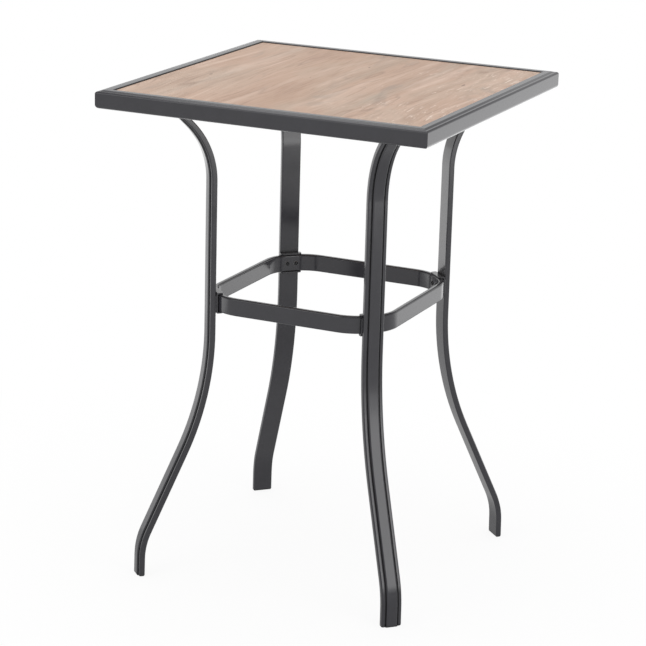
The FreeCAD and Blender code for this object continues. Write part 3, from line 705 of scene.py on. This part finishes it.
def leg_stations():
    """(reach, height, heading) along the leg; heading is measured from straight up, outwards positive."""
    foot, shin, crown = (math.radians(angle) for angle in (FOOT_ANGLE, SHIN_ANGLE, CROWN_ANGLE))
    inward = (FOOT_RUN * math.sin(foot) + ANKLE_RADIUS * (math.cos(foot) - math.cos(shin))
              + KNEE_RADIUS * (1 - math.cos(shin)))
    shin_run = (FOOT_REACH - LEG_LINE - inward) / math.sin(shin)
    lower = (FOOT_LEVEL + FOOT_RUN * math.cos(foot) + ANKLE_RADIUS * (math.sin(shin) - math.sin(foot))
             + shin_run * math.cos(shin) + KNEE_RADIUS * math.sin(shin))
    upper = (CROWN_RADIUS * math.sin(crown) + CROWN_RUN * math.cos(crown)
             + SEAT_RADIUS * (1 - math.sin(crown)))
    outward = (CROWN_RADIUS * (1 - math.cos(crown)) + CROWN_RUN * math.sin(crown)
               + SEAT_RADIUS * math.cos(crown))
    # Each run: kind, length or radius, heading at its end, number of chords
    runs = [
        ("line", FOOT_RUN, -FOOT_ANGLE, 2), ("arc", ANKLE_RADIUS, -SHIN_ANGLE, 14),
        ("line", shin_run, -SHIN_ANGLE, 4), ("arc", KNEE_RADIUS, 0.0, 16),
        ("line", SEAT_LEVEL - lower - upper, 0.0, 6), ("arc", CROWN_RADIUS, CROWN_ANGLE, 20),
        ("line", CROWN_RUN, CROWN_ANGLE, 1), ("arc", SEAT_RADIUS, SEAT_ANGLE, 16),
        ("line", SEAT_END - LEG_LINE - outward, SEAT_ANGLE, 2),
    ]
    reach, height, heading = FOOT_REACH, FOOT_LEVEL, -FOOT_ANGLE
    stations = [(reach, height, heading)]
    for kind, size, after, steps in runs:
        start = math.radians(heading)
        way = math.copysign(1, after - heading)
        for step in range(1, steps + 1):
            if kind == "line":
                run = size * step / steps
                here = (reach + run * math.sin(start), height + run * math.cos(start), heading)
            else:
                bend = heading + (after - heading) * step / steps
                end = math.radians(bend)
                here = (reach + way * size * (math.cos(start) - math.cos(end)),
                        height + way * size * (math.sin(end) - math.sin(start)), bend)
            stations.append(here)
        reach, height, heading = stations[-1]
    return stations


def leg_outline():
    """Stepped tube in (depth, width): flat inner face, raised band and two grooves outside."""
    inner, outer = -LEG_DEPTH / 2, LEG_DEPTH / 2
    bead = outer - BAND_RISE
    groove = bead - GROOVE_DEPTH - GROOVE_EXTRA_DEPTH
    side, band = LEG_WIDTH / 2, BAND_WIDTH / 2
    bank = band + GROOVE_WIDTH
    half = [
        (outer, band, BAND_ROUND), (groove, band, BAND_FOOT_ROUND), (groove, bank, GROOVE_FLOOR_ROUND),
        (bead, bank, GROOVE_BANK_ROUND), (bead, side, BEAD_ROUND), (inner, side, LEG_INNER_ROUND),
    ]
    other_half = [(depth, -width, radius) for depth, width, radius in reversed(half)]
    return rounded(other_half + half, steps=5)


def leg_shape():
    """S-curved tube from the level cut at its foot to the open end of its seat, hollow at both ends."""
    outline = leg_outline()
    void_outer = LEG_DEPTH / 2 - BAND_RISE - GROOVE_DEPTH - LEG_WALL
    void_inner = LEG_WALL - LEG_DEPTH / 2
    void_side = LEG_WIDTH / 2 - LEG_WALL
    hollow = [Vector((min(max(p.x, void_inner), void_outer), min(max(p.y, -void_side), void_side)))
              for p in outline]

    def ring(section, reach, height, heading, level=False):
        angle = math.radians(heading)
        out = Vector((1 / math.cos(angle), 0)) if level else Vector((math.cos(angle), -math.sin(angle)))
        return [Vector((reach + p.x * out.x, p.y, height + p.x * out.y)) for p in section]

    stations = leg_stations()
    reach, height, heading = stations[0]
    lean = math.radians(heading)
    rings = [
        ring(hollow, reach + FOOT_HOLLOW * math.sin(lean), height + FOOT_HOLLOW * math.cos(lean), heading),
        ring(hollow, *stations[0], level=True),
        ring(outline, *stations[0], level=True),
    ]
    rings += [ring(outline, *station) for station in stations[1:]]
    reach, height, heading = stations[-1]
    rings.append(ring(hollow, reach, height, heading))
    rings.append(ring(hollow, reach - SEAT_HOLLOW, height, heading))
    return skin(rings)


for corner, angle in CORNERS.items():
    piece_of(f"tube_leg_{corner}", placed(leg_shape(), turned(angle)), coat, "frame_coating",
             f"leg_{corner}", angle=28)


def cap_shape():
    """Foot cap: a rounded sole under the tube's end and the plug that holds it, leaning with the foot."""
    lean = math.radians(FOOT_ANGLE)
    slant = math.cos(lean)
    rings = []
    for back, level in SOLE_PROFILE:
        depth, side = LEG_DEPTH / 2 - CAP_INSET - back, LEG_WIDTH / 2 - CAP_INSET - back
        step, band = depth - BAND_RISE, BAND_WIDTH / 2 - back / 2
        half = [
            (depth, band, CAP_ROUND), (step, band + GROOVE_WIDTH, CAP_STEP_ROUND),
            (step, side, CAP_BEAD_ROUND), (-depth, side, CAP_ROUND),
        ]
        other_half = [(out, -width, radius) for out, width, radius in reversed(half)]
        outline = rounded(other_half + half, steps=5)
        rings.append([Vector((FOOT_REACH + p.x / slant, p.y, level)) for p in outline])
    inner = LEG_WALL + CAP_FIT - LEG_DEPTH / 2
    outer = LEG_DEPTH / 2 - BAND_RISE - GROOVE_DEPTH - LEG_WALL - CAP_FIT
    side = LEG_WIDTH / 2 - LEG_WALL - CAP_FIT
    plug = rounded_box((inner, -side), (outer, side), PLUG_ROUND, steps=3)
    plug_rings = []
    for back, run in ((0.0, 0.0), (0.0, CAP_PLUG - PLUG_ROUND), (PLUG_TAPER, CAP_PLUG)):
        spot = FOOT_REACH - run * math.sin(lean)
        level = FOOT_LEVEL + run * slant
        plug_rings.append([Vector((spot + p.x / slant, p.y, level)) for p in inset(plug, back)])
    return joined(skin(rings), skin(plug_rings))


for corner, angle in CORNERS.items():
    piece_of(f"moulded_cap_{corner}", placed(cap_shape(), turned(angle)), plastic, "foot_plastic",
             f"foot_cap_{corner}", angle=40)


# Foot ring and clips

def ring_stations(reach, seat_reach, radius):
    """(position, outward direction) round the closed ring: four sides, four seats, eight bends."""
    step = math.radians(RING_TURN)
    trim = radius * math.tan(step / 2)
    stations = []
    for turn in range(8):
        here, after = (reach, seat_reach) if turn % 2 == 0 else (seat_reach, reach)
        out = Vector((math.cos(turn * step), math.sin(turn * step)))
        along = Vector((-out.y, out.x))
        run = (after - here * math.cos(step)) / math.sin(step)
        bend = out * here + along * (run - trim)
        middle = bend - out * radius
        for part in range(BEND_CHORDS + 1):
            way = Matrix.Rotation(step * part / BEND_CHORDS, 2) @ out
            stations.append((middle + way * radius, way))
    return stations


def ring_shape():
    """Flat tube bent into one closed ring."""
    half_depth, half_height = RING_DEPTH / 2, RING_HEIGHT / 2
    outline = rounded_box((-half_depth, -half_height), (half_depth, half_height), RING_ROUND, steps=6)
    stations = ring_stations(RING_SIDE - half_depth, WEB_INSIDE - half_depth, RING_BEND - half_depth)
    rings = []
    for place, way in stations:
        rings.append([Vector((place.x + way.x * p.x, place.y + way.y * p.x, RING_LEVEL + p.y))
                      for p in outline])
    return skin(rings, closed=True)


piece_of("bent_tube_ring", ring_shape(), coat, "frame_coating", "foot_ring", angle=28)


def clip_shape():
    """Folded channel clip: rounded folds, and flange tips with rounded corners."""
    low = RING_LEVEL - RING_HEIGHT / 2 - CLIP_FIT
    high = RING_LEVEL + RING_HEIGHT / 2 + CLIP_FIT
    tip = LEG_INSIDE - CLIP_REACH
    straight = CLIP_WIDTH / 2 - CLIP_CORNER
    half_stops = [straight]
    for step in range(1, CLIP_CORNER_CHORDS + 1):
        swing = math.radians(90 * step / CLIP_CORNER_CHORDS)
        half_stops.append(straight + CLIP_CORNER * math.sin(swing))
    rings = []
    for stop in [-stop for stop in reversed(half_stops)] + half_stops:
        over = max(abs(stop) - straight, 0.0)
        back = CLIP_CORNER - math.sqrt(max(CLIP_CORNER ** 2 - over ** 2, 0.0))
        outline = rounded([
            (LEG_INSIDE, low - CLIP_THICK, CLIP_FOLD_ROUND), (LEG_INSIDE, high + CLIP_THICK, CLIP_FOLD_ROUND),
            (tip + back, high + CLIP_THICK, CLIP_EDGE_ROUND), (tip + back, high, CLIP_EDGE_ROUND),
            (WEB_INSIDE, high, CLIP_CHANNEL_ROUND), (WEB_INSIDE, low, CLIP_CHANNEL_ROUND),
            (tip + back, low, CLIP_EDGE_ROUND), (tip + back, low - CLIP_THICK, CLIP_EDGE_ROUND),
        ])
        rings.append([Vector((p.x, stop, p.y)) for p in outline])
    return skin(rings)


for corner, angle in CORNERS.items():
    piece_of(f"channel_clip_{corner}", placed(clip_shape(), turned(angle)), coat, "frame_coating",
             f"ring_bracket_{corner}")


# Fasteners

def cross_recess():
    """Outline of a driver's cross, drawn counter-clockwise a quarter at a time."""
    arm, reach = RECESS_ARM, RECESS_REACH
    quarter = [(arm, reach), (-arm, reach), (-arm, arm)]
    points = []
    for _ in range(4):
        points += quarter
        quarter = [(-y, x) for x, y in quarter]
    return [Vector(p) for p in points]


def pan_screw_shape():
    """Screw along +Z with its seat at zero: domed head below, cross recess, pointed shank above."""
    head, rise, shank = SCREW_HEAD / 2, SCREW_HEAD_RISE, SCREW_SIZE / 2
    dome = math.radians(SCREW_DOME)
    profile = [(AXIS_RADIUS, -rise)]
    for step in range(1, SCREW_DOME_CHORDS + 1):
        swing = dome * step / SCREW_DOME_CHORDS
        share = (math.cos(swing) - math.cos(dome)) / (1 - math.cos(dome))
        profile.append((head * math.sin(swing) / math.sin(dome), -SCREW_RIM - (rise - SCREW_RIM) * share))
    profile += [(head, -SCREW_RIM_EDGE), (head - SCREW_RIM_EDGE, 0.0), (shank, 0.0),
                (shank, SCREW_LENGTH - SCREW_POINT_RUN), (shank - SCREW_POINT, SCREW_LENGTH),
                (AXIS_RADIUS, SCREW_LENGTH)]
    cross = cross_recess()
    recess = skin([[Vector((p.x, p.y, -rise - OVERCUT)) for p in cross],
                   [Vector((p.x * RECESS_TAPER, p.y * RECESS_TAPER, -rise + RECESS_DEPTH)) for p in cross]])
    return boolean("DIFFERENCE", lathe(profile, SCREW_CHORDS), recess)


def hexagon(width):
    corners = [math.radians(60 * corner) for corner in range(6)]
    return [Vector((math.cos(turn), math.sin(turn))) * (width / math.sqrt(3)) for turn in corners]


def hex_body(width, low, high):
    """Hexagon block with its corners turned off at both ends."""
    corner = width / math.sqrt(3)
    face = width / 2 * HEX_FACE_SHARE
    drop = (corner - face) * math.tan(math.radians(HEX_TURN_ANGLE))
    profile = [(AXIS_RADIUS, low), (face, low), (corner, low + drop),
               (corner, high - drop), (face, high), (AXIS_RADIUS, high)]
    return boolean("INTERSECT", prism(hexagon(width), low, high), lathe(profile, HEX_CHORDS))


def bolt_shape():
    """Flanged hex bolt along +Z with its seat at zero: head below, threaded shank above."""
    shank, length = BOLT_SIZE / 2, BOLT_TOP - BOLT_SEAT
    head = hex_body(BOLT_HEAD_WIDTH, -BOLT_HEAD_RISE, -BOLT_HEAD_SEAT)
    flange = lathe([(AXIS_RADIUS, -FLANGE_RISE), (FLANGE_TOP_RADIUS, -FLANGE_RISE),
                    (FLANGE_RADIUS, -FLANGE_EDGE), (FLANGE_RADIUS, 0.0), (AXIS_RADIUS, 0.0)], HEX_CHORDS)
    thread = [(AXIS_RADIUS, 0.0), (shank, 0.0), (shank, THREAD_START)]
    level = THREAD_START
    while level < length - THREAD_END:
        thread += [(shank, level + THREAD_CREST_END), (shank - THREAD_DEPTH, level + THREAD_ROOT),
                   (shank, level + THREAD_CREST_START)]
        level += THREAD_PITCH
    thread += [(shank, length - BOLT_POINT), (shank - BOLT_POINT, length), (AXIS_RADIUS, length)]
    return joined(head, flange, lathe(thread, THREAD_CHORDS))


def nut_shape():
    """Hex nut along +Z with its seat at zero and a countersink at both ends of its bore."""
    radius = BOLT_SIZE / 2 + NUT_SLACK
    sunk = radius + NUT_SINK_SPREAD
    bore = lathe([
        (AXIS_RADIUS, -OVERCUT), (sunk, -OVERCUT), (radius, NUT_SINK),
        (radius, NUT_DEPTH - NUT_SINK), (sunk, NUT_DEPTH + OVERCUT), (AXIS_RADIUS, NUT_DEPTH + OVERCUT),
    ], BORE_CHORDS)
    return boolean("DIFFERENCE", hex_body(BOLT_HEAD_WIDTH, 0.0, NUT_DEPTH), bore)


# Every fastener stops at an angle of its own
outward = Matrix.Rotation(math.radians(90), 4, "Y")
screw_places = []
for number, angle in enumerate(CORNERS.values()):
    for way in (1, -1):
        spin = turned(SCREW_SPIN + SCREW_CORNER_SPIN * number + SCREW_SIDE_SPIN * way)
        spot = Matrix.Translation((SCREW_SEAT, SCREW_SIDE * way, RING_LEVEL))
        screw_places.append(turned(angle) @ spot @ outward @ spin)
piece_of("cross_recess_screws", placed(pan_screw_shape(), *screw_places), black_steel, "black_fasteners",
         "ring_screws")

bolt_places, nut_places = [], []
for number, angle in enumerate(CORNERS.values()):
    spin = turned(BOLT_SPIN + BOLT_CORNER_SPIN * number)
    bolt_places.append(turned(angle) @ Matrix.Translation((BOLT_REACH, 0, BOLT_SEAT)) @ spin)
    nut_places.append(turned(angle) @ Matrix.Translation((BOLT_REACH, 0, NUT_BOTTOM)) @ spin)
piece_of("flanged_hex_bolts", placed(bolt_shape(), *bolt_places), black_steel, "black_fasteners", "leg_bolts")
piece_of("hex_nuts", placed(nut_shape(), *nut_places), zinc, "zinc_fasteners", "leg_nuts")


# Welds

def bead_shape(start, end, size):
    """Rippled weld bead from start to end, with rounded ends."""
    start, end = Vector(start), Vector(end)
    run = end - start
    way = run.normalized()
    side = way.orthogonal().normalized()
    other = way.cross(side)
    turns = [math.tau * corner / WELD_SIDES for corner in range(WELD_SIDES)]
    count = max(WELD_LEAST_STEPS, round(run.length / WELD_STEP))
    rings = []
    for step in range(count + 1):
        along = step / count
        rest = min(along, 1 - along) * run.length
        swell = math.sqrt(min(1.0, WELD_START + rest / size))
        radius = size * swell * (1 + WELD_RIPPLE * math.sin(step * WELD_RIPPLE_TURN))
        spot = start + run * along
        rings.append([spot + (side * math.cos(turn) + other * math.sin(turn)) * radius for turn in turns])
    return skin(rings)


def weld_shapes():
    """Beads that join gussets and bearers to the rails, and clips to the legs."""
    beads = []
    level = GUSSET_BOTTOM
    wall = RIM_INSIDE
    for angle in CORNERS.values():
        quarter = turned(angle - 45)
        for low, high in GUSSET_WELD_RUNS:
            beads.append((*bead_shape((low, wall, level), (high, wall, level), GUSSET_WELD), quarter))
            beads.append((*bead_shape((wall, low, level), (wall, high, level), GUSSET_WELD), quarter))
        for way in (1, -1):
            reach, side = LEG_INSIDE + CLIP_WELD_OUT, (LEG_WIDTH / 2 - CLIP_WELD_IN) * way
            foot = (reach, side, RING_LEVEL - CLIP_WELD_HALF)
            head = (reach, side, RING_LEVEL + CLIP_WELD_HALF)
            beads.append((*bead_shape(foot, head, CLIP_WELD), turned(angle)))
    for across in (1, -1):
        middle = BEARER_SPREAD / 2 * across
        for end in (1, -1):
            left = (wall * end, middle - BEARER_WELD_HALF, BEARER_BOTTOM)
            right = (wall * end, middle + BEARER_WELD_HALF, BEARER_BOTTOM)
            beads.append((*bead_shape(left, right, BEARER_WELD), Matrix.Identity(4)))
    return combined(beads)


piece_of("weld_beads", weld_shapes(), coat, "frame_coating", angle=60)


# CAD nodes that show as they are, with softened edges

def dress(node, material, edge):
    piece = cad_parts[node]
    piece.data.materials.clear()
    piece.data.materials.append(material)
    soft = piece.modifiers.new("soft_edges", "BEVEL")
    soft.width = edge * MM
    soft.segments = EDGE_CHORDS
    soft.limit_method = "ANGLE"
    soft.angle_limit = math.radians(EDGE_ANGLE)
    soft.harden_normals = True


for corner in CORNERS:
    dress(f"gusset_{corner}", coat, GUSSET_EDGE)
for node in ("bearer_front", "bearer_back"):
    dress(node, coat, BEARER_EDGE)
dress("bearer_pads", foam, PAD_EDGE)


# Camera, floor, surround and lamps

def make_camera():
    azimuth, elevation, roll = (math.radians(a) for a in (CAMERA_AZIMUTH, CAMERA_ELEVATION, CAMERA_ROLL))
    back = Vector((math.sin(azimuth) * math.cos(elevation), -math.cos(azimuth) * math.cos(elevation),
                   math.sin(elevation)))
    level = Vector((math.cos(azimuth), math.sin(azimuth), 0))
    upright = back.cross(level)
    right = level * math.cos(roll) + upright * math.sin(roll)
    up = upright * math.cos(roll) - level * math.sin(roll)
    target = Vector((0, 0, TARGET_HEIGHT)) + level * TARGET_SHIFT
    lens = bpy.data.cameras.new("camera")
    lens.sensor_width = SENSOR_WIDTH
    lens.lens = FOCAL_LENGTH * SENSOR_WIDTH / IMAGE_SIZE
    camera = new_object("camera", lens)
    turn = Matrix((right, up, back)).transposed().to_4x4()
    camera.matrix_world = Matrix.Translation((target + back * CAMERA_DISTANCE) * MM) @ turn
    bpy.context.scene.camera = camera


def make_world():
    """White where the camera sees it, and a plain soft light elsewhere."""
    n = Nodes(bpy.data.worlds.new("white_surround"))
    light = n.tree.nodes["Background"]
    light.inputs["Color"].default_value = WHITE
    light.inputs["Strength"].default_value = SURROUND_LIGHT
    white = n.add("Background", {"Color": WHITE, "Strength": 1.0})
    seen = n.add("LightPath").outputs["Is Camera Ray"]
    shown = n.mix_shaders(seen, light.outputs[0], white.outputs[0])
    n.feed(n.tree.nodes["World Output"].inputs["Surface"], shown)
    bpy.context.scene.world = n.owner


def make_floor():
    """Pale floor that reads white, keeps a soft shadow, and is clear from below."""
    n = Material("pale_floor")
    n.finish(base_color=FLOOR_TONE, roughness=FLOOR_ROUGHNESS)
    # The glow grows with the distance from the middle, in metres; seen in reflections it is dimmer near the
    # table, a painted shade where the table's shadow falls.
    path = n.add("LightPath").outputs
    distance = n.add("VectorMath", {0: n.place}, operation="LENGTH").outputs["Value"]
    reflected_glow_with_painted_shade = n.span(distance, 0.68, 1.0, 0.3, 2.2)
    glow = n.add("Emission", {"Strength": n.math("MAXIMUM", reflected_glow_with_painted_shade, path["Is Camera Ray"])})
    seen = n.math("MAXIMUM", path["Is Camera Ray"], path["Is Glossy Ray"])
    share = n.math("MULTIPLY", seen, n.span(distance, 0.9, 1.0, 0.45, 1.3))
    above = n.mix_shaders(share, n.shader.outputs[0], glow.outputs[0])
    clear = n.add("BsdfTransparent").outputs[0]
    below = n.add("NewGeometry").outputs["Backfacing"]
    n.feed(n.tree.nodes["Material Output"].inputs["Surface"], n.mix_shaders(below, above, clear))
    mesh = bpy.data.meshes.new("floor")
    corners = [(x * FLOOR_HALF, y * FLOOR_HALF, 0) for x, y in ((-1, -1), (1, -1), (1, 1), (-1, 1))]
    mesh.from_pydata(corners, [], [(0, 1, 2, 3)])
    mesh.materials.append(n.owner)
    floor = new_object("floor", mesh)


def make_lamp(name, place, aim, size, radiance):
    """Rectangular soft lamp that the camera doesn't see."""
    data = bpy.data.lights.new(name, "AREA")
    data.shape = "RECTANGLE"
    data.size, data.size_y = size
    data.energy = radiance * math.pi * size[0] * size[1]
    lamp = new_object(name, data)
    lamp.location = place
    lamp.rotation_euler = (Vector(aim) - Vector(place)).to_track_quat("-Z", "Y").to_euler()
    lamp.visible_camera = False


make_camera()
make_world()
make_floor()
for name, settings in LAMPS.items():
    make_lamp(name, *settings)
bpy.context.scene.view_settings.view_transform = "Standard"
